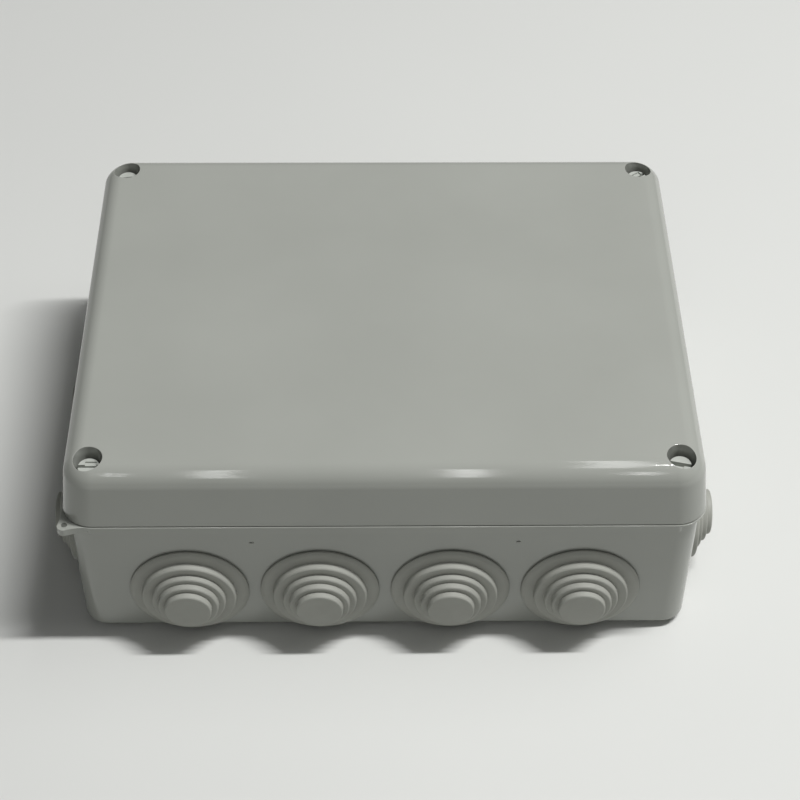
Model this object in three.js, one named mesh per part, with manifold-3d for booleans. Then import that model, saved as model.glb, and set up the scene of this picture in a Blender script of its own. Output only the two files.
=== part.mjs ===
// Surface-mounting electrical junction box with twelve stepped cable grommets.
// Millimetres, +Z up. The origin is on the mounting surface, under the middle of the box.
// The long front wall faces -Y. The lid lifts off along +Z and is held by four slotted screws.
import * as THREE from 'three';
import { mergeVertices } from 'three/addons/utils/BufferGeometryUtils.js';
import Module from 'manifold-3d';

// ---- driving dimensions ----

// Outline of the lid's lower edge, which every other outline is set in from.
const BOX_WIDTH = 255;
const BOX_DEPTH = 200;
const CORNER_RADIUS = 12.3;

// Heights above the mounting surface.
const PLINTH_TOP = 3.8;
const FLOOR_TOP = 3;
const LEDGE_TOP = 5.9;
const RIM_BOTTOM = 63;
const RIM_TOP = 67.9;
const TONGUE_TOP = 70.9;
const LID_BOTTOM = 68.2;
const LID_TOP = 95;

// Distances in from the outline; the rim's thin upper edge stands out past it.
const PLINTH_INSET = 9;
const FLOOR_INSET = 11.7;
const WALL_INSET = 2.2;
const RIM_INSET = 0.2;
const RIM_EDGE = 0.3;
const RIM_EDGE_HEIGHT = 1;
const TONGUE_INSET = 3.3;
const CAVITY_INSET = 4.9;

// Lid shell: its sides lean in towards the top and end in a large fillet.
const LID_LEAN = 3;
const LID_FILLET = 7.8;
const LID_PLATE = 2.5;
const LID_CAVITY_INSET = 4.3;
const LID_INNER_FILLET = 6.2;

// Seal channel on the lid's underside.
const CHANNEL_OUTER_INSET = 2.9;
const CHANNEL_INNER_INSET = 5.7;
const CHANNEL_ROOF = 74;
const CHANNEL_PLATE_TOP = 76;
const RIB_INSET = 7.2;
const RIB_BOTTOM = 69.4;

// Lid screws stand this far in from both sides of the outline.
const SCREW_INSET = 12.5;
const SCREW_HEAD_RADIUS = 4.3;
const SCREW_HEAD_TOP = 90;
const SCREW_HEAD_BOTTOM = 86.4;
const SCREW_SHANK_RADIUS = 2.1;
const SCREW_SHANK_BOTTOM = 48;
const SLOT_WIDTH = 1.5;
const SLOT_DEPTH = 2;
const SCREW_BORE_RADIUS = 2.5;
const WELL_RADIUS = 5.75;
const WELL_FLOOR = 84.6;
const TUBE_RADIUS = 6.8;
const TUBE_BOTTOM = 67.2;
const BOSS_RADIUS = 6.4;
const BOSS_TOP = 66.7;
const BOSS_BORE_BOTTOM = 36;
const WEB_THICKNESS = 2.4;

// Clearance that touching pieces keep.
const GAP = 0.3;

// Cable grommets.
const GROMMET_HEIGHT = 26.6;
const FRONT_PITCH = 53.1;
const FRONT_COUNT = 4;
const SIDE_POSITIONS = [-57.4, 6];
const GROMMET_HOLE_RADIUS = 18.1;
const GROMMET_SEGMENTS = 16;
const GROMMET_STEP_RADII = [19.1, 14.9, 12.2, 9.5];
const GROMMET_STEP_TOPS = [5.4, 7.5, 9.9, 12.3];
const GROMMET_SKIN = 1.2;

// Inside the base.
const STANDOFF_X = 80;
const STANDOFF_Y = 55;
const STANDOFF_RADIUS = 4;
const STANDOFF_TOP = 9;
const STANDOFF_BORE_RADIUS = 1.4;
const FIXING_X = 98;
const FIXING_Y = 70;
const FIXING_RADIUS = 6;
const FIXING_TOP = 5;
const FIXING_POCKET_RADIUS = 2.6;
const FIXING_SKIN = 0.9;

const ABOVE = LID_TOP + 10;
const BELOW = -10;
const HALF_WIDTH = BOX_WIDTH / 2;
const HALF_DEPTH = BOX_DEPTH / 2;
const WALL_THICKNESS = CAVITY_INSET - WALL_INSET;

const wasm = await Module();
wasm.setup();

// ---- materials ----

function plastic(color, roughness) {
  return new THREE.MeshStandardMaterial({ color, roughness, metalness: 0 });
}

const housingMaterial = plastic(0xa3a59d, 0.38);
const grommetMaterial = plastic(0x9fa19a, 0.55);
const sealMaterial = plastic(0x2a2b2b, 0.85);
const screwMaterial = plastic(0xb4b6b0, 0.42);

// ---- solids and booleans ----

function toSolid(geometry) {
  const bare = geometry.clone();
  bare.deleteAttribute('normal');
  bare.deleteAttribute('uv');
  const merged = mergeVertices(bare, 1e-4);
  const mesh = new wasm.Mesh({
    numProp: 3,
    vertProperties: new Float32Array(merged.attributes.position.array),
    triVerts: new Uint32Array(merged.index.array),
  });
  return new wasm.Manifold(mesh);
}

function toGeometry(solid) {
  const mesh = solid.getMesh();
  const geometry = new THREE.BufferGeometry();
  geometry.setAttribute('position', new THREE.BufferAttribute(new Float32Array(mesh.vertProperties), 3));
  geometry.setIndex(new THREE.BufferAttribute(new Uint32Array(mesh.triVerts), 1));
  geometry.computeVertexNormals();
  return geometry;
}

function union(solids) {
  return solids.reduce((sum, solid) => sum.add(solid));
}

// A rectangle with round corners, centred on (x, y).
function roundedRectangle(width, depth, radius, x = 0, y = 0) {
  const shape = new THREE.Shape();
  const right = x + width / 2 - radius;
  const left = x - width / 2 + radius;
  const back = y + depth / 2 - radius;
  const front = y - depth / 2 + radius;
  shape.absarc(right, front, radius, -Math.PI / 2, 0);
  shape.absarc(right, back, radius, 0, Math.PI / 2);
  shape.absarc(left, back, radius, Math.PI / 2, Math.PI);
  shape.absarc(left, front, radius, Math.PI, 1.5 * Math.PI);
  shape.closePath();
  return shape;
}

// The box's outline, set in by a distance.
function outline(inset) {
  return roundedRectangle(BOX_WIDTH - 2 * inset, BOX_DEPTH - 2 * inset, CORNER_RADIUS - inset);
}

// A shape drawn in the XY plane, standing from one height to another.
function extrusion(shape, bottom, top) {
  const settings = { depth: top - bottom, bevelEnabled: false, curveSegments: 3 };
  return new THREE.ExtrudeGeometry(shape, settings).translate(0, 0, bottom);
}

function layer(inset, bottom, top) {
  return toSolid(extrusion(outline(inset), bottom, top));
}

function block(width, depth, bottom, top, x = 0, y = 0) {
  const geometry = new THREE.BoxGeometry(width, depth, top - bottom);
  return toSolid(geometry.translate(x, y, (top + bottom) / 2));
}

function post(radius, bottom, top, x, y, segments = 20) {
  const geometry = new THREE.CylinderGeometry(radius, radius, top - bottom, segments);
  return toSolid(geometry.rotateX(Math.PI / 2).translate(x, y, (top + bottom) / 2));
}

// A layer whose upper edge is rounded over.
function domedLayer(inset, bottom, top, fillet, segments, lean) {
  const geometry = new THREE.ExtrudeGeometry(outline(inset), {
    depth: top - bottom,
    bevelEnabled: true,
    bevelThickness: fillet,
    bevelSize: fillet,
    bevelOffset: -fillet,
    bevelSegments: segments,
    curveSegments: 3,
  });
  geometry.translate(0, 0, bottom - fillet);
  leanIn(geometry, bottom, top, lean);
  return toSolid(geometry).subtract(block(2 * BOX_WIDTH, 2 * BOX_DEPTH, BELOW, bottom));
}

// Draws every side in towards the top, as moulding draft does.
function leanIn(geometry, bottom, top, lean) {
  const position = geometry.attributes.position;
  for (let i = 0; i < position.count; i += 1) {
    const amount = (lean * (position.getZ(i) - bottom)) / (top - bottom);
    position.setX(i, position.getX(i) * (1 - amount / HALF_WIDTH));
    position.setY(i, position.getY(i) * (1 - amount / HALF_DEPTH));
  }
}

// The four corner signs, front left first and then anticlockwise from above.
const CORNERS = [
  { name: 'front_left', x: -1, y: -1 },
  { name: 'front_right', x: 1, y: -1 },
  { name: 'rear_right', x: 1, y: 1 },
  { name: 'rear_left', x: -1, y: 1 },
];

function atCorners(x, y, make) {
  return union(CORNERS.map((corner) => make(corner.x * x, corner.y * y, corner)));
}

const SCREW_X = HALF_WIDTH - SCREW_INSET;
const SCREW_Y = HALF_DEPTH - SCREW_INSET;

// ---- cable entries ----

// Each entry names its grommet, its place on the wall's outer face and the turn about Z that
// points the grommet, drawn along +Y, out of the box.
function cableEntries() {
  const wallX = HALF_WIDTH - WALL_INSET;
  const wallY = HALF_DEPTH - WALL_INSET;
  const entries = [];
  for (let i = 0; i < FRONT_COUNT; i += 1) {
    const x = (i - (FRONT_COUNT - 1) / 2) * FRONT_PITCH;
    entries.push({ name: `grommet_front_${i + 1}`, x, y: -wallY, turn: Math.PI });
    entries.push({ name: `grommet_rear_${i + 1}`, x, y: wallY, turn: 0 });
  }
  SIDE_POSITIONS.forEach((y, i) => {
    entries.push({ name: `grommet_left_${i + 1}`, x: -wallX, y, turn: Math.PI / 2 });
    entries.push({ name: `grommet_right_${i + 1}`, x: wallX, y, turn: -Math.PI / 2 });
  });
  return entries;
}

function entryHole(entry) {
  const length = 4 * WALL_THICKNESS;
  const geometry = new THREE.CylinderGeometry(
    GROMMET_HOLE_RADIUS, GROMMET_HOLE_RADIUS, length, GROMMET_SEGMENTS);
  geometry.rotateZ(entry.turn).translate(entry.x, entry.y, GROMMET_HEIGHT);
  return toSolid(geometry);
}

// A soft stepped cone: a rounded flange outside the wall, a neck through the hole and a lip
// behind it. It is hollow from the back and closed by a thin skin that is cut for a cable.
function grommetGeometry() {
  const flangeRadius = 24.2;
  const flangeThickness = 1.7;
  const lipRadius = 20.3;
  const lipThickness = 1.5;
  const wallBack = -WALL_THICKNESS - GAP;
  const neckRadius = GROMMET_HOLE_RADIUS - GAP;
  const innerRadii = [15.6, 12.6, 9.6, 7.2];
  const tip = GROMMET_STEP_TOPS[3];
  const points = [[0, tip]];
  for (let i = 3; i >= 0; i -= 1) {
    const foot = i > 0 ? GROMMET_STEP_TOPS[i - 1] : flangeThickness;
    points.push([GROMMET_STEP_RADII[i], GROMMET_STEP_TOPS[i]]);
    points.push([GROMMET_STEP_RADII[i], foot]);
  }
  points.push([flangeRadius - 2, flangeThickness]);
  points.push([flangeRadius, GAP + 0.3]);
  points.push([flangeRadius, GAP]);
  points.push([neckRadius, GAP]);
  points.push([neckRadius, wallBack]);
  points.push([lipRadius, wallBack]);
  points.push([lipRadius - 0.8, wallBack - lipThickness]);
  points.push([innerRadii[0], wallBack - lipThickness]);
  points.push([innerRadii[0], GROMMET_STEP_TOPS[0] - 2.6]);
  points.push([innerRadii[1], GROMMET_STEP_TOPS[1] - 2.6]);
  points.push([innerRadii[2], GROMMET_STEP_TOPS[2] - GROMMET_SKIN - 1]);
  points.push([innerRadii[3], tip - GROMMET_SKIN]);
  points.push([0, tip - GROMMET_SKIN]);
  const profile = points.reverse().map(([r, along]) => new THREE.Vector2(r, along));
  return new THREE.LatheGeometry(profile, GROMMET_SEGMENTS);
}

// ---- base ----

// The straight rim bars that the lid's edge sits over, one along each wall.
function rimBars() {
  const reach = 10;
  const end = 2.2;
  const lengthX = BOX_WIDTH - 2 * reach;
  const lengthY = BOX_DEPTH - 2 * reach;
  const thickness = 5;
  const middle = RIM_INSET + thickness / 2;
  const bars = [];
  for (const side of [-1, 1]) {
    const alongX = roundedRectangle(lengthX, thickness, end, 0, side * (HALF_DEPTH - middle));
    const alongY = roundedRectangle(thickness, lengthY, end, side * (HALF_WIDTH - middle), 0);
    bars.push(toSolid(extrusion(alongX, RIM_BOTTOM, RIM_TOP)));
    bars.push(toSolid(extrusion(alongY, RIM_BOTTOM, RIM_TOP)));
  }
  return union(bars);
}

// A small sealing ear filling in a corner of the rim, with a hole for a wire. It is drawn at the
// rear right corner and turned about Z to the corner that it belongs to.
function sealingEar(turn) {
  const holeX = HALF_WIDTH - 1.6;
  const holeY = HALF_DEPTH - 1.5;
  const earRadius = 2.9;
  const holeRadius = 1.2;
  const reach = 12;
  const edge = 0.25;
  const bottom = RIM_TOP - 3.9;
  const shape = new THREE.Shape();
  shape.moveTo(HALF_WIDTH - reach, HALF_DEPTH - edge);
  shape.quadraticCurveTo(holeX - earRadius, HALF_DEPTH, holeX, holeY + earRadius);
  shape.absarc(holeX, holeY, earRadius, Math.PI / 2, 0, true);
  shape.quadraticCurveTo(HALF_WIDTH, holeY - earRadius, HALF_WIDTH - edge, HALF_DEPTH - reach);
  shape.lineTo(HALF_WIDTH - reach, HALF_DEPTH - reach);
  shape.closePath();
  const hole = new THREE.Path();
  hole.absarc(holeX, holeY, holeRadius, 0, 2 * Math.PI);
  shape.holes.push(hole);
  return toSolid(extrusion(shape, bottom, RIM_TOP).rotateZ(turn));
}

// Small moulded nibs under the rim, between the outer pairs of grommets.
function rimNibs() {
  const nibs = [];
  for (const side of [-1, 1]) {
    for (const x of [-FRONT_PITCH, FRONT_PITCH]) {
      nibs.push(block(2.4, 1.4, 55, 56.2, x, side * (HALF_DEPTH - WALL_INSET)));
    }
  }
  return union(nibs);
}

// A corner post that takes a lid screw, tied to both walls by webs.
function screwPost(x, y, corner) {
  const toWallX = HALF_WIDTH - CAVITY_INSET - SCREW_X + 1;
  const toWallY = HALF_DEPTH - CAVITY_INSET - SCREW_Y + 1;
  const middleX = x + (corner.x * toWallX) / 2;
  const middleY = y + (corner.y * toWallY) / 2;
  return union([
    post(BOSS_RADIUS, FLOOR_TOP - 1, BOSS_TOP, x, y),
    block(toWallX, WEB_THICKNESS, FLOOR_TOP - 1, BOSS_TOP, middleX, y),
    block(WEB_THICKNESS, toWallY, FLOOR_TOP - 1, BOSS_TOP, x, middleY),
  ]);
}

function baseSolid() {
  const shell = union([
    layer(WALL_INSET, 0, RIM_TOP),
    layer(TONGUE_INSET, PLINTH_TOP, TONGUE_TOP),
    layer(-RIM_EDGE, RIM_TOP - RIM_EDGE_HEIGHT, RIM_TOP),
    rimBars(),
    rimNibs(),
    sealingEar(0),
    sealingEar(Math.PI),
  ]).subtract(layer(CAVITY_INSET, LEDGE_TOP, ABOVE)).subtract(layer(FLOOR_INSET, FLOOR_TOP, LEDGE_TOP + 1));
  const undercut = block(BOX_WIDTH, BOX_DEPTH, BELOW, PLINTH_TOP)
    .subtract(layer(PLINTH_INSET, BELOW - 1, PLINTH_TOP + 1));
  const fittings = union([
    atCorners(SCREW_X, SCREW_Y, screwPost),
    atCorners(STANDOFF_X, STANDOFF_Y, (x, y) => post(STANDOFF_RADIUS, FLOOR_TOP - 1, STANDOFF_TOP, x, y)),
    atCorners(FIXING_X, FIXING_Y, (x, y) => post(FIXING_RADIUS, FLOOR_TOP - 1, FIXING_TOP, x, y)),
  ]);
  const bores = union([
    atCorners(SCREW_X, SCREW_Y, (x, y) => post(SCREW_BORE_RADIUS, BOSS_BORE_BOTTOM, ABOVE, x, y, 16)),
    atCorners(STANDOFF_X, STANDOFF_Y, (x, y) => post(STANDOFF_BORE_RADIUS, FLOOR_TOP, ABOVE, x, y, 12)),
    atCorners(FIXING_X, FIXING_Y, (x, y) => post(FIXING_POCKET_RADIUS, FIXING_SKIN, ABOVE, x, y, 16)),
  ]);
  const solid = shell.add(fittings).subtract(undercut).subtract(bores);
  return solid.subtract(union(cableEntries().map(entryHole)));
}

// ---- lid ----

function lidSolid() {
  const shell = domedLayer(0, LID_BOTTOM, LID_TOP, LID_FILLET, 6, LID_LEAN);
  const room = domedLayer(
    LID_CAVITY_INSET, CHANNEL_PLATE_TOP, LID_TOP - LID_PLATE, LID_INNER_FILLET, 3, 0);
  const channel = layer(CHANNEL_OUTER_INSET, BELOW, CHANNEL_ROOF)
    .subtract(layer(CHANNEL_INNER_INSET, RIB_BOTTOM, ABOVE));
  const middle = layer(RIB_INSET, BELOW, CHANNEL_PLATE_TOP + 1);
  const tube = (top) => atCorners(SCREW_X, SCREW_Y, (x, y) => post(TUBE_RADIUS, TUBE_BOTTOM, top, x, y, 24));
  const tubes = tube(CHANNEL_PLATE_TOP + 4).add(tube(LID_TOP - 2).intersect(shell));
  const wells = atCorners(SCREW_X, SCREW_Y, (x, y) => post(WELL_RADIUS, WELL_FLOOR, ABOVE, x, y, 24));
  const bores = atCorners(SCREW_X, SCREW_Y, (x, y) => post(SCREW_BORE_RADIUS, BELOW, ABOVE, x, y, 16));
  return shell.subtract(channel).subtract(middle).subtract(room).add(tubes).subtract(wells).subtract(bores);
}

// The endless seal that lies in the lid's channel and meets the base's tongue.
function gasketSolid() {
  const bottom = TONGUE_TOP + GAP;
  const top = CHANNEL_ROOF - GAP;
  return layer(CHANNEL_OUTER_INSET + GAP, bottom, top)
    .subtract(layer(CHANNEL_INNER_INSET - GAP, BELOW, ABOVE));
}

// ---- lid screws ----

function screwSolid() {
  const middle = (SCREW_HEAD_TOP + SCREW_HEAD_BOTTOM) / 2;
  const head = post(SCREW_HEAD_RADIUS, SCREW_HEAD_BOTTOM, SCREW_HEAD_TOP, 0, 0, 24);
  const shank = post(SCREW_SHANK_RADIUS, SCREW_SHANK_BOTTOM, middle, 0, 0, 16);
  const slot = block(3 * SCREW_HEAD_RADIUS, SLOT_WIDTH, SCREW_HEAD_TOP - SLOT_DEPTH, ABOVE);
  return head.add(shank).subtract(slot);
}

// The rubber ring under each screw head, a square-cut lathe ring.
function screwRingGeometry() {
  const bottom = WELL_FLOOR + GAP;
  const top = SCREW_HEAD_BOTTOM - GAP;
  const inner = SCREW_SHANK_RADIUS + GAP;
  const outer = SCREW_HEAD_RADIUS - 0.2;
  const profile = [[inner, bottom], [outer, bottom], [outer, top], [inner, top], [inner, bottom]];
  const points = profile.map(([r, along]) => new THREE.Vector2(r, along));
  return new THREE.LatheGeometry(points, 20).rotateX(Math.PI / 2);
}

// ---- assembly ----

function named(name, geometry, material) {
  const mesh = new THREE.Mesh(geometry, material);
  mesh.name = name;
  return mesh;
}

const base = new THREE.Group();
base.add(named('base_shell', toGeometry(baseSolid()), housingMaterial));
const grommet = grommetGeometry();
for (const entry of cableEntries()) {
  const mesh = named(entry.name, grommet, grommetMaterial);
  mesh.position.set(entry.x, entry.y, GROMMET_HEIGHT);
  mesh.rotation.z = entry.turn;
  base.add(mesh);
}

const lid = new THREE.Group();
lid.add(named('lid', toGeometry(lidSolid()), housingMaterial));
lid.add(named('lid_gasket', toGeometry(gasketSolid()), sealMaterial));
const screw = toGeometry(screwSolid());
const ring = screwRingGeometry();
for (const corner of CORNERS) {
  const screwMesh = named(`lid_screw_${corner.name}`, screw, screwMaterial);
  const ringMesh = named(`screw_seal_${corner.name}`, ring, sealMaterial);
  for (const mesh of [screwMesh, ringMesh]) {
    mesh.position.set(corner.x * SCREW_X, corner.y * SCREW_Y, 0);
    lid.add(mesh);
  }
}

const box = new THREE.Group();
box.add(base, lid);

export default box;
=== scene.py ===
"""Looks of a surface-mounting electrical junction box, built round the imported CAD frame."""
from math import cos, hypot, pi, radians, sin

import bmesh
import bpy
from mathutils import Matrix, Vector
from mathutils.bvhtree import BVHTree


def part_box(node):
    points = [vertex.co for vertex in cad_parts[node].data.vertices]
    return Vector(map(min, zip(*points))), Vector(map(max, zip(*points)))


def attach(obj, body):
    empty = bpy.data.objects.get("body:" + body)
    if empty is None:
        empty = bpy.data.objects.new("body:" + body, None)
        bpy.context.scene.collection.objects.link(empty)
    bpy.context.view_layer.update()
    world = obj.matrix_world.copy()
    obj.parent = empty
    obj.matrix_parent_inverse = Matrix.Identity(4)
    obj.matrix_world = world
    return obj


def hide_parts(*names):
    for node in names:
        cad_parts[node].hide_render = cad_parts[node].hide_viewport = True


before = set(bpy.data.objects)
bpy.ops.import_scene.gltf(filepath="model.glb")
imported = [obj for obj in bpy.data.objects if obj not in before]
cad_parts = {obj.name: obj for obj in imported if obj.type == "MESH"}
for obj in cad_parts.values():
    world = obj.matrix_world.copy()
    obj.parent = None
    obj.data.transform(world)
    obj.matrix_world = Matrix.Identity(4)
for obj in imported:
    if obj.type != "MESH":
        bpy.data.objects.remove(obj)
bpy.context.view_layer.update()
MM = 0.001

# ---- the part's dimensions in metres, as the CAD has them ----

WIDTH = 255 * MM
DEPTH = 200 * MM
CORNER = 12.3 * MM
PLINTH_TOP = 3.8 * MM
FLOOR_TOP = 3 * MM
LEDGE_TOP = 5.9 * MM
RIM_BOTTOM = 63 * MM
RIM_TOP = 67.9 * MM
TONGUE_TOP = 70.9 * MM
LID_BOTTOM = 68.2 * MM
LID_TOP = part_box("lid")[1][2]
PLINTH_INSET = 9 * MM
FLOOR_INSET = 11.7 * MM
WALL_INSET = 2.2 * MM
RIM_INSET = 0.2 * MM
TONGUE_INSET = 3.3 * MM
CAVITY_INSET = 4.9 * MM
LID_LEAN = 3 * MM
LID_FILLET = 7.8 * MM
SCREW_BORE = 2.5 * MM
WELL_RADIUS = 5.75 * MM
WELL_FLOOR = 84.6 * MM
GROMMET_HOLE = 18.1 * MM
GAP = 0.3 * MM
RIM_EDGE = 0.3 * MM
WALL_THICKNESS = CAVITY_INSET - WALL_INSET
NIB_X = 53.1 * MM
STANDOFF_X, STANDOFF_Y, STANDOFF_TOP = 80 * MM, 55 * MM, 9 * MM
FIXING_X, FIXING_Y, FIXING_TOP = 98 * MM, 70 * MM, 5 * MM

# Heights well below the lid and above everything, where cutters start and end.
MIDWAY = 50 * MM
ABOVE = 100 * MM

CORNERS = {"front_left": (-1, -1), "front_right": (1, -1),
           "rear_right": (1, 1), "rear_left": (-1, 1)}
GROMMETS = [f"grommet_{side}_{i + 1}" for side, count in
            (("front", 4), ("rear", 4), ("left", 2), ("right", 2)) for i in range(count)]


def centre(node):
    low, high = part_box(node)
    return [(a + b) / 2 for a, b in zip(low, high)]


# ---- mesh helpers ----

# Lengths under this count as nothing.
NOTHING = 1e-7


def outline(inset, per_corner=14, per_x=36, per_y=30):
    """The box's outline set in by a distance: a rounded rectangle, anticlockwise from above."""
    radius = max(CORNER - inset, 0.2 * MM)
    across, along = WIDTH / 2 - inset - radius, DEPTH / 2 - inset - radius
    corners = [(1, -1), (1, 1), (-1, 1), (-1, -1)]
    points = []
    for k, (sx, sy) in enumerate(corners):
        for i in range(per_corner + 1):
            turn = (k - 1 + i / per_corner) * pi / 2
            x, y = sx * across + radius * cos(turn), sy * along + radius * sin(turn)
            points.append(Vector((x, y)))
        nx, ny = corners[(k + 1) % 4]
        turn = k * pi / 2
        after = Vector((nx * across + radius * cos(turn), ny * along + radius * sin(turn)))
        count = per_y if k % 2 == 0 else per_x
        last = points[-1]
        points += [last.lerp(after, i / (count + 1)) for i in range(1, count + 1)]
    return points


def loft(rings, loop=False):
    """A closed skin through rings of 3-D points; a loop also joins the last ring to the first."""
    bm = bmesh.new()
    rows = [[bm.verts.new(p) for p in ring] for ring in rings]
    pairs = list(zip(rows, rows[1:])) + ([(rows[-1], rows[0])] if loop else [])
    for lower, upper in pairs:
        for i in range(len(lower)):
            j = (i + 1) % len(lower)
            bm.faces.new((lower[i], lower[j], upper[j], upper[i]))
    if not loop:
        bm.faces.new(list(reversed(rows[0])))
        bm.faces.new(rows[-1])
    return bm


def at_height(points, z):
    return [(p[0], p[1], z) for p in points]


def layer(levels, loop=False):
    """A loft of the box's outline at (inset, height) levels."""
    return loft([at_height(outline(inset), z) for inset, z in levels], loop=loop)


def quarter(radius, steps):
    """(sideways, along) steps of a rounded edge, from its side to its end."""
    turns = [pi / 2 * i / steps for i in range(steps + 1)]
    return [(radius * (1 - cos(t)), radius * sin(t)) for t in turns]


def rounded_foot(inset, bottom, edge, steps):
    """Levels that round a layer's lower edge."""
    return [(inset + a, bottom + edge - b) for a, b in reversed(quarter(edge, steps))]


def rounded_head(inset, top, edge, steps):
    """Levels that round a layer's upper edge."""
    return [(inset + a, top - edge + b) for a, b in quarter(edge, steps)]


def flared_head(inset, top, edge, steps):
    """Levels that widen a hollow at its mouth, so that the rim round it is rounded."""
    return [(inset - a, top - edge + b) for a, b in quarter(edge, steps)]


def post(radius, bottom, top, x, y, edge=0.3 * MM, segments=48):
    """An upright round post with a rounded upper edge."""
    rings = [(radius, bottom)] + [(radius - a, top - edge + b) for a, b in quarter(edge, 3)]
    turns = [2 * pi * i / segments for i in range(segments)]
    return loft([[(x + r * cos(t), y + r * sin(t), z) for t in turns] for r, z in rings])


def soften(bm, edges, size):
    bmesh.ops.bevel(bm, geom=edges, offset=size, segments=3, profile=0.5, affect="EDGES",
                    clamp_overlap=True)


def block(low, high, edge=0.0):
    """A box between two corners, with all its edges rounded if an edge size is given."""
    bm = bmesh.new()
    size = [b - a for a, b in zip(low, high)]
    middle = [(a + b) / 2 for a, b in zip(low, high)]
    place = Matrix.Translation(middle) @ Matrix.Diagonal((*size, 1))
    bmesh.ops.create_cube(bm, size=1, matrix=place)
    if edge:
        soften(bm, [e for e in bm.edges if e.calc_face_angle(0) > radians(50)], edge)
    return bm


def prism(points, bottom, top, edge):
    """An upright prism over a polygon, with its end edges rounded."""
    bm = loft([at_height(points, bottom), at_height(points, top)])
    soften(bm, [e for e in bm.edges if abs(e.verts[0].co.z - e.verts[1].co.z) < NOTHING], edge)
    return bm


def lathe(profile, segments=96):
    """A closed ring of (radius, along) points turned about the Z axis; radius 0 is a pole."""
    bm = bmesh.new()
    rows = []
    for r, z in profile:
        if r < NOTHING:
            rows.append([bm.verts.new((0, 0, z))])
        else:
            turns = [2 * pi * i / segments for i in range(segments)]
            rows.append([bm.verts.new((r * cos(t), r * sin(t), z)) for t in turns])
    closed = profile[0][0] > NOTHING
    for a, b in list(zip(rows, rows[1:])) + ([(rows[-1], rows[0])] if closed else []):
        for i in range(segments):
            j = (i + 1) % segments
            corners = [a[i % len(a)], a[j % len(a)], b[j % len(b)], b[i % len(b)]]
            bm.faces.new(list(dict.fromkeys(corners)))
    bmesh.ops.recalc_face_normals(bm, faces=bm.faces)
    return bm


def rounded(points, steps=4):
    """A polyline of (r, along, radius) points with each corner rounded by its own radius."""
    out = []
    for i, (r, z, radius) in enumerate(points):
        if radius == 0 or i in (0, len(points) - 1):
            out.append((r, z))
            continue
        here = Vector((r, z))
        before = Vector(points[i - 1][:2]) - here
        after = Vector(points[i + 1][:2]) - here
        cut = min(radius, 0.49 * before.length, 0.49 * after.length)
        start, end = here + before.normalized() * cut, here + after.normalized() * cut
        for k in range(steps + 1):
            t = k / steps
            point = start * (1 - t) ** 2 + here * 2 * t * (1 - t) + end * t ** 2
            out.append((point.x, point.y))
    return out


def temporary(bm):
    """An object that only lives while solids are being combined."""
    mesh = bpy.data.meshes.new("temporary")
    bmesh.ops.recalc_face_normals(bm, faces=bm.faces)
    bm.to_mesh(mesh)
    bm.free()
    obj = bpy.data.objects.new("temporary", mesh)
    bpy.context.scene.collection.objects.link(obj)
    return obj


def combine(bm, operation, others):
    """The first solid with the others joined to it or cut from it, one after another."""
    target = temporary(bm)
    tools = [temporary(other) for other in others]
    for tool in tools:
        change = target.modifiers.new("change", "BOOLEAN")
        change.operation = operation
        change.solver = "MANIFOLD"
        change.object = tool
    bpy.context.view_layer.update()
    evaluated = target.evaluated_get(bpy.context.evaluated_depsgraph_get())
    result = bmesh.new()
    result.from_mesh(evaluated.to_mesh())
    evaluated.to_mesh_clear()
    for obj in [target, *tools]:
        mesh = obj.data
        bpy.data.objects.remove(obj)
        bpy.data.meshes.remove(mesh)
    return result


def piece(name, bm, material, body, nodes, sharp_angle=38):
    """Makes a visible piece that rides on a body and stands for CAD nodes."""
    for face in bm.faces:
        face.smooth = True
    for edge in bm.edges:
        edge.smooth = edge.calc_face_angle(0) < radians(sharp_angle)
    mesh = bpy.data.meshes.new(name)
    bm.to_mesh(mesh)
    bm.free()
    obj = bpy.data.objects.new(name, mesh)
    bpy.context.scene.collection.objects.link(obj)
    mesh.materials.append(material)
    normals = obj.modifiers.new("even shading", "WEIGHTED_NORMAL")
    normals.keep_sharp = True
    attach(obj, body)
    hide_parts(*nodes)


# ---- the base ----

def rim_bars():
    """Straight bars along the top of each wall, that the lid's edge sits over."""
    reach, end, thickness, edge = 10 * MM, 2.2 * MM, 5 * MM, 0.55 * MM
    bars = []
    for across in (True, False):
        half = (WIDTH if across else DEPTH) / 2 - reach
        out = (DEPTH if across else WIDTH) / 2 - RIM_INSET
        for side in (-1, 1):
            points = []
            for k, (sx, sy) in enumerate(((1, -1), (1, 1), (-1, 1), (-1, -1))):
                for i in range(9):
                    turn = (k - 1 + i / 8) * pi / 2
                    x = sx * (half - end) + end * cos(turn)
                    y = side * (out - thickness / 2) + sy * (thickness / 2 - end) + end * sin(turn)
                    points.append((x, y) if across else (-y, x))
            bars.append(prism(points, RIM_BOTTOM, RIM_TOP, edge))
    return bars


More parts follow.
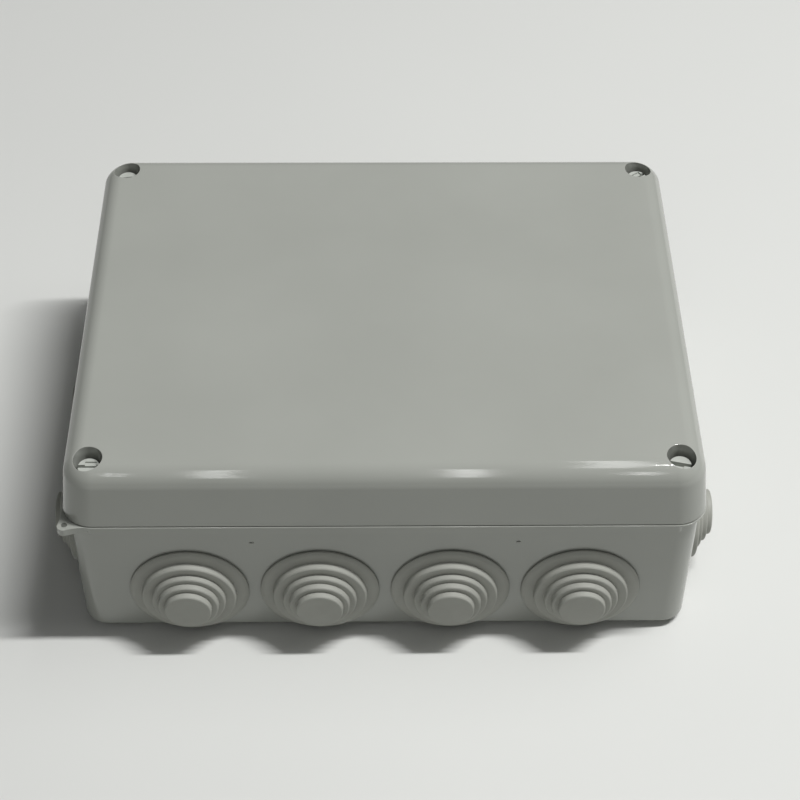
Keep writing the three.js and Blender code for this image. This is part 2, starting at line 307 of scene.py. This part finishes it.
def sealing_ear(turn):
    """A small ear that fills in a corner of the rim, with a hole for a sealing wire."""
    x, y = WIDTH / 2 - 1.6 * MM, DEPTH / 2 - 1.5 * MM
    radius, reach = 2.9 * MM, 12 * MM
    inner = 0.1 * MM

    def curve(a, b, c, steps=10):
        a, b, c = Vector(a), Vector(b), Vector(c)
        return [a * (1 - t) ** 2 + b * 2 * t * (1 - t) + c * t * t for t in
                [i / steps for i in range(steps)]]

    points = curve((WIDTH / 2 - reach, DEPTH / 2 - inner), (x - radius, DEPTH / 2), (x, y + radius))
    points += [Vector((x + radius * cos(t), y + radius * sin(t))) for t in
               [pi / 2 * (1 - i / 12) for i in range(12)]]
    points += curve((x + radius, y), (WIDTH / 2, y - radius),
                    (WIDTH / 2 - inner, DEPTH / 2 - reach))
    points += [Vector((WIDTH / 2 - inner, DEPTH / 2 - reach)),
               Vector((WIDTH / 2 - reach, DEPTH / 2 - reach))]
    points.reverse()
    ear = prism(points, RIM_TOP - 3.9 * MM, RIM_TOP, 0.4 * MM)
    for vert in ear.verts:
        away = min(hypot(vert.co.x - x, vert.co.y - y) / reach, 1)
        vert.co.z = RIM_TOP - (RIM_TOP - vert.co.z) * (1 - 0.55 * away)
    hole = post(1.2 * MM, MIDWAY, ABOVE, x, y, segments=32)
    ear = combine(ear, "DIFFERENCE", [hole])
    bmesh.ops.rotate(ear, verts=ear.verts, matrix=Matrix.Rotation(turn, 3, "Z"))
    return ear


def corner_name(sx, sy):
    return next(name for name, signs in CORNERS.items() if signs == (sx, sy))


def screw_post(sx, sy):
    """A post for a lid screw with the two webs that tie it to the walls."""
    x, y, _ = centre(f"lid_screw_{corner_name(sx, sy)}")
    top, thick = 66.7 * MM, 2.4 * MM
    wall_x, wall_y = WIDTH / 2 - CAVITY_INSET + MM, DEPTH / 2 - CAVITY_INSET + MM
    low_z = PLINTH_TOP + 0.8 * MM
    ends_x, ends_y = sorted((x, sx * wall_x)), sorted((y, sy * wall_y))
    webs = [block((ends_x[0], y - thick / 2, low_z), (ends_x[1], y + thick / 2, top)),
            block((x - thick / 2, ends_y[0], low_z), (x + thick / 2, ends_y[1], top))]
    return [post(6.4 * MM, low_z, top, x, y, edge=0.4 * MM)] + webs


def nibs():
    """Tiny moulding nibs on the long walls, two on each, under the rim."""
    found = []
    for side in (-1, 1):
        for x in (-NIB_X, NIB_X):
            y = side * (DEPTH / 2 - WALL_INSET)
            low, high = (x - 0.9 * MM, y - 0.4 * MM, 55 * MM), (x + 0.9 * MM, y + 0.4 * MM, 56 * MM)
            found.append(block(low, high, 0.3 * MM))
    return found


def open_shell():
    """The walls on their set-in plinth, with the rim, the seal's tongue and the hollow inside."""
    edge, foot, soft = 0.5 * MM, 1.2 * MM, 0.3 * MM
    plinth = layer([(PLINTH_INSET + soft, 0), (PLINTH_INSET, soft),
                    (PLINTH_INSET, PLINTH_TOP + MM)])
    wall = layer(rounded_foot(WALL_INSET, PLINTH_TOP, edge, 4)
                 + [(WALL_INSET, 20 * MM), (WALL_INSET, 40 * MM), (WALL_INSET, RIM_TOP)])
    tongue = layer([(TONGUE_INSET, MIDWAY)] + rounded_head(TONGUE_INSET, TONGUE_TOP, edge, 3))
    rim = layer(rounded_foot(-RIM_EDGE, RIM_TOP - MM, soft, 3)
                + rounded_head(-RIM_EDGE, RIM_TOP, soft, 3))
    cavity = layer(rounded_foot(CAVITY_INSET, LEDGE_TOP, edge, 3)
                   + [(CAVITY_INSET, TONGUE_TOP - edge)]
                   + flared_head(CAVITY_INSET, TONGUE_TOP, edge, 3)
                   + [(CAVITY_INSET - edge, ABOVE)])
    lead = 0.4 * MM
    dish = layer(rounded_foot(FLOOR_INSET, FLOOR_TOP, foot, 5)
                 + [(FLOOR_INSET, LEDGE_TOP - lead), (FLOOR_INSET - lead, LEDGE_TOP),
                    (FLOOR_INSET - lead, LEDGE_TOP + MM)])
    parts = [plinth, tongue, rim, *rim_bars(), *nibs(), sealing_ear(0), sealing_ear(pi)]
    return combine(combine(wall, "UNION", parts), "DIFFERENCE", [cavity, dish])


def base_mesh():
    """The open shell with its posts, standoffs, fixing points and entry holes."""
    shell = open_shell()
    fittings = [part for signs in CORNERS.values() for part in screw_post(*signs)]
    bores = []
    for sx, sy in CORNERS.values():
        x, y, _ = centre(f"lid_screw_{corner_name(sx, sy)}")
        bores.append(post(SCREW_BORE, 36 * MM, ABOVE, x, y, segments=40))
        x, y = sx * STANDOFF_X, sy * STANDOFF_Y
        fittings.append(post(4 * MM, FLOOR_TOP - MM, STANDOFF_TOP, x, y))
        bores.append(post(1.4 * MM, FLOOR_TOP, ABOVE, x, y, segments=28))
        x, y = sx * FIXING_X, sy * FIXING_Y
        fittings.append(post(6 * MM, FLOOR_TOP - MM, FIXING_TOP, x, y))
        bores.append(post(2.6 * MM, 0.9 * MM, ABOVE, x, y, segments=36))
    bores += [entry_hole(node) for node in GROMMETS]
    return combine(combine(shell, "UNION", fittings), "DIFFERENCE", bores)


def entry_pose(node):
    """The place on the wall's outer face where a grommet's axis meets it, with +Z pointing out."""
    x, y, z = centre(node)
    side = node.split("_")[1]
    out = {"front": (0, -1, 0), "rear": (0, 1, 0), "left": (-1, 0, 0), "right": (1, 0, 0)}[side]
    if side in ("front", "rear"):
        y = out[1] * (DEPTH / 2 - WALL_INSET)
    else:
        x = out[0] * (WIDTH / 2 - WALL_INSET)
    turn = Vector((0, 0, 1)).rotation_difference(Vector(out)).to_matrix().to_4x4()
    return Matrix.Translation((x, y, z)) @ turn


def entry_hole(node):
    """A round cutter through the wall for a grommet's neck."""
    hole = post(GROMMET_HOLE, -6 * MM, 6 * MM, 0, 0, segments=96)
    bmesh.ops.transform(hole, matrix=entry_pose(node), verts=hole.verts)
    return hole


# ---- grommets ----

def grommet_profile():
    """A soft stepped cone: flange, four steps and tip outside, a neck and a lip behind the wall."""
    back = -WALL_THICKNESS - GAP
    neck = GROMMET_HOLE - GAP
    # Radius, distance out from the wall and rounding of each corner, in mm, from the tip inwards.
    out = [(0, 12.3, 0), (9.05, 12.25, 0.5), (9.5, 11.8, 0.3), (9.6, 9.55, 0.25),
           (11.7, 9.9, 0.5), (12.2, 9.4, 0.3), (12.3, 7.3, 0.25),
           (14.4, 7.5, 0.5), (14.9, 7.0, 0.3), (15.0, 4.9, 0.25),
           (18.6, 5.4, 0.5), (19.1, 4.8, 0.3), (19.2, 2.3, 0.3),
           (22.8, 1.8, 1.2), (24.2, 1.0, 0.5), (24.2, 0.3, 0.3)]
    inner = [(neck / MM, 0.3, 0.1), (neck / MM, back / MM, 0.1), (20.3, back / MM, 0.3),
             (19.5, back / MM - 1.5, 0.4), (15.6, back / MM - 1.5, 0.4), (15.6, 2.8, 0.4),
             (12.6, 4.9, 0.4), (9.6, 7.7, 0.4), (7.2, 11.1, 0.4), (0, 11.1, 0)]
    return rounded([(r * MM, z * MM, e * MM) for r, z, e in out + inner])


def grommet(node, material, tilt):
    """A grommet in its hole, turned a little about its own axis."""
    bm = lathe(grommet_profile())
    bmesh.ops.transform(bm, matrix=entry_pose(node) @ Matrix.Rotation(tilt, 4, "Z"), verts=bm.verts)
    piece(f"{node}_look", bm, material, "base", [node], sharp_angle=60)


# ---- the lid ----

def lean_in(x, y, z):
    """The lid's walls lean in towards the top."""
    amount = LID_LEAN * (z - LID_BOTTOM) / (LID_TOP - LID_BOTTOM)
    return x * (1 - 2 * amount / WIDTH), y * (1 - 2 * amount / DEPTH)


def lid_shell():
    """The lid's outside as a full body, with rings on the flat top that keep its faces even."""
    rings = rounded_foot(0, LID_BOTTOM, 0.4 * MM, 4)
    rings += [(0, LID_BOTTOM + 5 * MM), (0, LID_BOTTOM + 10 * MM)]
    rings += rounded_head(0, LID_TOP, LID_FILLET, 16)
    skins = []
    for inset, z in rings:
        skins.append([(*lean_in(p.x, p.y, z), z) for p in outline(inset)])
    top = skins[-1]
    # The flat top narrows in rings to its middle.
    for scale in (0.985, 0.95, 0.88, 0.78, 0.64, 0.48, 0.3, 0.12):
        skins.append([(x * scale, y * scale, z) for x, y, z in top])
    return loft(skins)


def well_cutter(x, y, skin):
    """Cuts a screw well whose rounded mouth follows the lid's outer skin."""
    edge, foot, segments = 0.25 * MM, 0.4 * MM, 96
    turns = [2 * pi * i / segments for i in range(segments)]

    def ring(radius, height):
        return [(x + radius * cos(t), y + radius * sin(t), height(t)) for t in turns]

    def surface(radius):
        """The height of the skin under a turn of the mouth."""
        def height(t):
            above = (x + radius * cos(t), y + radius * sin(t), 1)
            return skin.ray_cast(above, (0, 0, -1))[0].z
        return height

    rings = [ring(WELL_RADIUS - foot, lambda t: WELL_FLOOR),
             ring(WELL_RADIUS, lambda t: WELL_FLOOR + foot)]
    for a, b in quarter(edge, 5):
        at = surface(WELL_RADIUS + a)
        rings.append(ring(WELL_RADIUS + a, lambda t, at=at, b=b: at(t) - edge + b + 0.01 * MM))
    rings.append(ring(WELL_RADIUS + edge, lambda t: LID_TOP + 5 * MM))
    return loft(rings)


def moat(outer, inner, bottom, top):
    """A cutter that runs all round, between two insets and two heights."""
    return layer([(outer, top), (outer, bottom), (inner, bottom), (inner, top)], loop=True)


def tube(x, y, top):
    return post(6.8 * MM, 67.2 * MM, top, x, y, edge=0.1 * MM)


def lid_mesh():
    """The hollow lid with its seal channel, screw tubes and wells."""
    channel = moat(2.9 * MM, 5.7 * MM, MIDWAY, 74 * MM)
    clear = moat(5.6 * MM, 7.3 * MM, MIDWAY, 69.4 * MM)
    middle = layer([(7.2 * MM, MIDWAY), (7.2 * MM, 77 * MM)])
    room_inset = 4.3 * MM
    room = layer([(room_inset, 76 * MM)]
                 + rounded_head(room_inset, LID_TOP - 2.5 * MM, 6.2 * MM, 8))
    screws = [centre(f"lid_screw_{name}")[:2] for name in CORNERS]
    shell = combine(lid_shell(), "DIFFERENCE", [channel, middle, clear, room])
    tubes = [combine(tube(x, y, LID_TOP - 2 * MM), "INTERSECT", [lid_shell()]) for x, y in screws]
    shell = combine(shell, "UNION", tubes + [tube(x, y, 80 * MM) for x, y in screws])
    solid = lid_shell()
    skin = BVHTree.FromBMesh(solid)
    solid.free()
    cutters = [well_cutter(x, y, skin) for x, y in screws]
    cutters += [post(SCREW_BORE, MIDWAY, ABOVE, x, y, segments=40) for x, y in screws]
    return combine(shell, "DIFFERENCE", cutters)


# ---- screws and seals ----

def screw(name, turn, material):
    """A lid screw: a domed edge, a slot across it and a shallow pocket behind the slot."""
    node = f"lid_screw_{name}"
    low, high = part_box(node)
    x, y, _ = centre(node)
    radius, top, tip = (high[0] - low[0]) / 2, high[2], low[2]
    under, shank = top - 3.6 * MM, 2.1 * MM
    profile = rounded([(0, top, 0), (radius, top, 0.35 * MM), (radius, under, 0.2 * MM),
                       (shank, under, 0.1 * MM), (shank, tip + 0.6 * MM, 0.2 * MM),
                       (1.4 * MM, tip, 0.1 * MM), (0, tip, 0)])
    bm = lathe(profile, 64)
    half_slot = 0.75 * MM
    slot = block((-radius - MM, -half_slot, top - 2 * MM), (radius + MM, half_slot, top + MM))
    pocket = block((-1.5 * MM, 0, top - 0.7 * MM), (3.0 * MM, 2.4 * MM, top + MM))
    bm = combine(bm, "DIFFERENCE", [slot, pocket])
    place = Matrix.Translation((x, y, 0)) @ Matrix.Rotation(turn, 4, "Z")
    bmesh.ops.transform(bm, matrix=place, verts=bm.verts)
    piece(f"{node}_look", bm, material, f"screw_{name}", [node], sharp_angle=40)


def gasket(material):
    """The endless seal in the lid's channel."""
    low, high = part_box("lid_gasket")[0][2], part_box("lid_gasket")[1][2]
    outer, inner, edge = 3.2 * MM, 5.4 * MM, 0.5 * MM
    levels = rounded_head(outer, high, edge, 3)
    levels += reversed(flared_head(inner, high, edge, 3))
    levels += [(inner - a, low + edge - b) for a, b in quarter(edge, 3)]
    levels += rounded_foot(outer, low, edge, 3)
    seal = layer(levels, loop=True)
    piece("lid_gasket_look", seal, material, "lid", ["lid_gasket"])


# ---- materials ----

class Nodes:
    """A material's node tree, with the few things that every material here is made from."""

    def __init__(self, name, roughness, specular=0.5):
        self.material = bpy.data.materials.new(name)
        self.material.use_nodes = True
        self.tree = self.material.node_tree
        self.shader = self.tree.nodes["Principled BSDF"]
        self.shader.inputs["Roughness"].default_value = roughness
        self.shader.inputs["Specular IOR Level"].default_value = specular
        self.place = self.tree.nodes.new("ShaderNodeTexCoord").outputs["Object"]

    def link(self, a, b):
        self.tree.links.new(a, b)

    def noise(self, scale, detail=3.0, rough=0.5):
        node = self.tree.nodes.new("ShaderNodeTexNoise")
        node.inputs["Scale"].default_value = scale
        node.inputs["Detail"].default_value = detail
        node.inputs["Roughness"].default_value = rough
        self.link(self.place, node.inputs["Vector"])
        return node.outputs["Fac"]

    def remap(self, value, low, high, to_low, to_high):
        node = self.tree.nodes.new("ShaderNodeMapRange")
        ends = {"From Min": low, "From Max": high, "To Min": to_low, "To Max": to_high}
        for key, number in ends.items():
            node.inputs[key].default_value = number
        self.link(value, node.inputs["Value"])
        return node.outputs["Result"]

    def blend(self, value, dark, light):
        node = self.tree.nodes.new("ShaderNodeMix")
        node.data_type = "RGBA"
        node.inputs["A"].default_value = (*dark, 1)
        node.inputs["B"].default_value = (*light, 1)
        self.link(value, node.inputs["Factor"])
        return node.outputs["Result"]

    def bump(self, height, strength, distance, below=None):
        node = self.tree.nodes.new("ShaderNodeBump")
        node.inputs["Strength"].default_value = strength
        node.inputs["Distance"].default_value = distance
        self.link(height, node.inputs["Height"])
        if below is not None:
            self.link(below, node.inputs["Normal"])
        return node.outputs["Normal"]


def srgb(*levels):
    """Linear levels of an 8-bit display colour."""
    return [((v / 255 + 0.055) / 1.055) ** 2.4 for v in levels]


def housing_plastic():
    nodes = Nodes("grey moulded plastic", 0.3, 0.5)
    tone = nodes.remap(nodes.noise(14, 4), 0.3, 0.7, 0, 1)
    colour = nodes.blend(tone, srgb(155, 157, 151), srgb(160, 162, 156))
    nodes.link(colour, nodes.shader.inputs["Base Color"])
    gloss = nodes.remap(nodes.noise(160, 5, 0.6), 0.3, 0.7, 0.045, 0.065)
    nodes.link(gloss, nodes.shader.inputs["Roughness"])
    peel = nodes.bump(nodes.noise(420, 2), 0.07, 0.00005)
    grain = nodes.bump(nodes.noise(2600, 2), 0.10, 0.00003, peel)
    nodes.link(grain, nodes.shader.inputs["Normal"])
    return nodes.material


def grommet_plastic():
    nodes = Nodes("soft grey vinyl", 0.6, 0.4)
    tone = nodes.remap(nodes.noise(60, 4), 0.3, 0.7, 0, 1)
    colour = nodes.blend(tone, srgb(155, 156, 149), srgb(162, 163, 156))
    nodes.link(colour, nodes.shader.inputs["Base Color"])
    gloss = nodes.remap(nodes.noise(300, 4, 0.6), 0.3, 0.7, 0.5, 0.68)
    nodes.link(gloss, nodes.shader.inputs["Roughness"])
    soft = nodes.bump(nodes.noise(260, 3), 0.25, 0.00015)
    grain = nodes.bump(nodes.noise(2200, 3), 0.25, 0.00005, soft)
    nodes.link(grain, nodes.shader.inputs["Normal"])
    return nodes.material


def screw_plastic():
    nodes = Nodes("light grey nylon", 0.45, 0.45)
    tone = nodes.remap(nodes.noise(300, 3), 0.3, 0.7, 0, 1)
    colour = nodes.blend(tone, srgb(170, 173, 167), srgb(178, 181, 175))
    nodes.link(colour, nodes.shader.inputs["Base Color"])
    grain = nodes.bump(nodes.noise(1800, 3), 0.3, 0.00006)
    nodes.link(grain, nodes.shader.inputs["Normal"])
    return nodes.material


def seal_rubber():
    nodes = Nodes("black foam rubber", 0.85, 0.3)
    tone = nodes.remap(nodes.noise(900, 4), 0.35, 0.65, 0, 1)
    colour = nodes.blend(tone, (0.018, 0.018, 0.018), (0.032, 0.032, 0.031))
    nodes.link(colour, nodes.shader.inputs["Base Color"])
    pores = nodes.bump(nodes.noise(2400, 3), 0.5, 0.0001)
    nodes.link(pores, nodes.shader.inputs["Normal"])
    return nodes.material


def table_white():
    nodes = Nodes("pale table", 0.6, 0.25)
    tone = nodes.remap(nodes.noise(3, 3), 0.3, 0.7, 0, 1)
    colour = nodes.blend(tone, srgb(210, 211, 208), srgb(213, 214, 211))
    nodes.link(colour, nodes.shader.inputs["Base Color"])
    return nodes.material


# ---- surroundings ----

def table(material):
    """The pale surface under the box."""
    bm = bmesh.new()
    bmesh.ops.create_grid(bm, x_segments=12, y_segments=12, size=4)
    mesh = bpy.data.meshes.new("table")
    bm.to_mesh(mesh)
    bm.free()
    obj = bpy.data.objects.new("table", mesh)
    obj.location.z = -0.0002
    bpy.context.scene.collection.objects.link(obj)
    mesh.materials.append(material)


def area_light(name, place, target, size, power, size_y):
    """A rectangular light whose first side runs along the box and the other from front to rear."""
    data = bpy.data.lights.new(name, "AREA")
    data.shape = "RECTANGLE"
    data.size = size
    data.size_y = size_y
    data.energy = power
    obj = bpy.data.objects.new(name, data)
    back = (Vector(place) - Vector(target)).normalized()
    up = back.cross(Vector((1, 0, 0))).normalized()
    turn = Matrix((up.cross(back), up, back)).transposed().to_4x4()
    obj.matrix_world = Matrix.Translation(place) @ turn
    bpy.context.scene.collection.objects.link(obj)


def ceiling_lamp(name, across, tilt, reach, width, power):
    """A long lamp that the lid's front edge mirrors at a chosen place along the edge.

    Tilt and reach are the middle and the length of the lamp as angles from straight up
    towards the viewer; across is the place along X where the lamp's reflection lies."""
    far, near = 2.0, 0.8
    edge = Vector((across, -DEPTH / 2, LID_TOP))
    x = across * (near + far) / near - edge.x
    ahead = Vector((x, -far * sin(radians(tilt)), far * cos(radians(tilt))))
    area_light(name, edge + ahead, edge, width * (near + far) / near, power, far * radians(reach))


def lights():
    """A long tube high on the right, a weak broad window by it, ceiling lamps and a dim room."""
    area_light("tube", (0.82, -0.04, 2.13), (0, -0.06, 0.05), 0.8, 44, 0.08)
    area_light("window", (0.9, 0.2, 1.42), (0, 0, 0.05), 1.0, 5, 1.0)
    ceiling_lamp("lamp_left", -0.068, 37, 42, 0.015, 1.4)
    ceiling_lamp("lamp_middle", 0.037, 37, 42, 0.015, 1.7)
    ceiling_lamp("lamp_far_left", -0.110, 38, 18, 0.006, 0.3)
    ceiling_lamp("lamp_far_right", 0.109, 42, 16, 0.008, 0.4)
    ceiling_lamp("lamp_right", 0.0985, -8, 46, 0.024, 2.2)
    world = bpy.data.worlds.new("room")
    world.use_nodes = True
    sky = world.node_tree.nodes["Background"].inputs
    sky["Color"].default_value = (0.93, 0.95, 0.92, 1)
    sky["Strength"].default_value = 0.07
    bpy.context.scene.world = world


def camera():
    """Looks down at the long front side from just left of the middle."""
    place = Vector((-0.0035, -0.5854, 0.6419))
    pitch, yaw, roll = radians(45.99), radians(1.04), radians(0.55)
    ahead = Vector((sin(yaw) * cos(pitch), cos(yaw) * cos(pitch), -sin(pitch)))
    right = Vector((cos(yaw), -sin(yaw), 0))
    up = right.cross(ahead)
    right, up = cos(roll) * right + sin(roll) * up, cos(roll) * up - sin(roll) * right
    data = bpy.data.cameras.new("camera")
    data.sensor_width = 36
    data.lens = 86.05
    data.clip_start, data.clip_end = 0.01, 20
    obj = bpy.data.objects.new("camera", data)
    turn = Matrix((right, up, -ahead)).transposed().to_4x4()
    obj.matrix_world = Matrix.Translation(place) @ turn
    bpy.context.scene.collection.objects.link(obj)
    bpy.context.scene.camera = obj


def finish_cad_nodes(rubber):
    """The rings under the screw heads stay as the CAD has them, in the seal's rubber."""
    for name in CORNERS:
        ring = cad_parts[f"screw_seal_{name}"]
        for slot in ring.material_slots:
            slot.material = rubber


# ---- the scene ----

camera()
housing, vinyl = housing_plastic(), grommet_plastic()
nylon, rubber = screw_plastic(), seal_rubber()
piece("base_look", base_mesh(), housing, "base", ["base_shell"])
piece("lid_look", lid_mesh(), housing, "lid", ["lid"])
for number, grommet_node in enumerate(GROMMETS):
    grommet(grommet_node, vinyl, radians(23 * number))
for corner, angle in zip(CORNERS, (0, 166, 35, 190)):
    screw(corner, radians(angle), nylon)
gasket(rubber)
finish_cad_nodes(rubber)
table(table_white())
lights()
bpy.context.scene.view_settings.view_transform = "Standard"
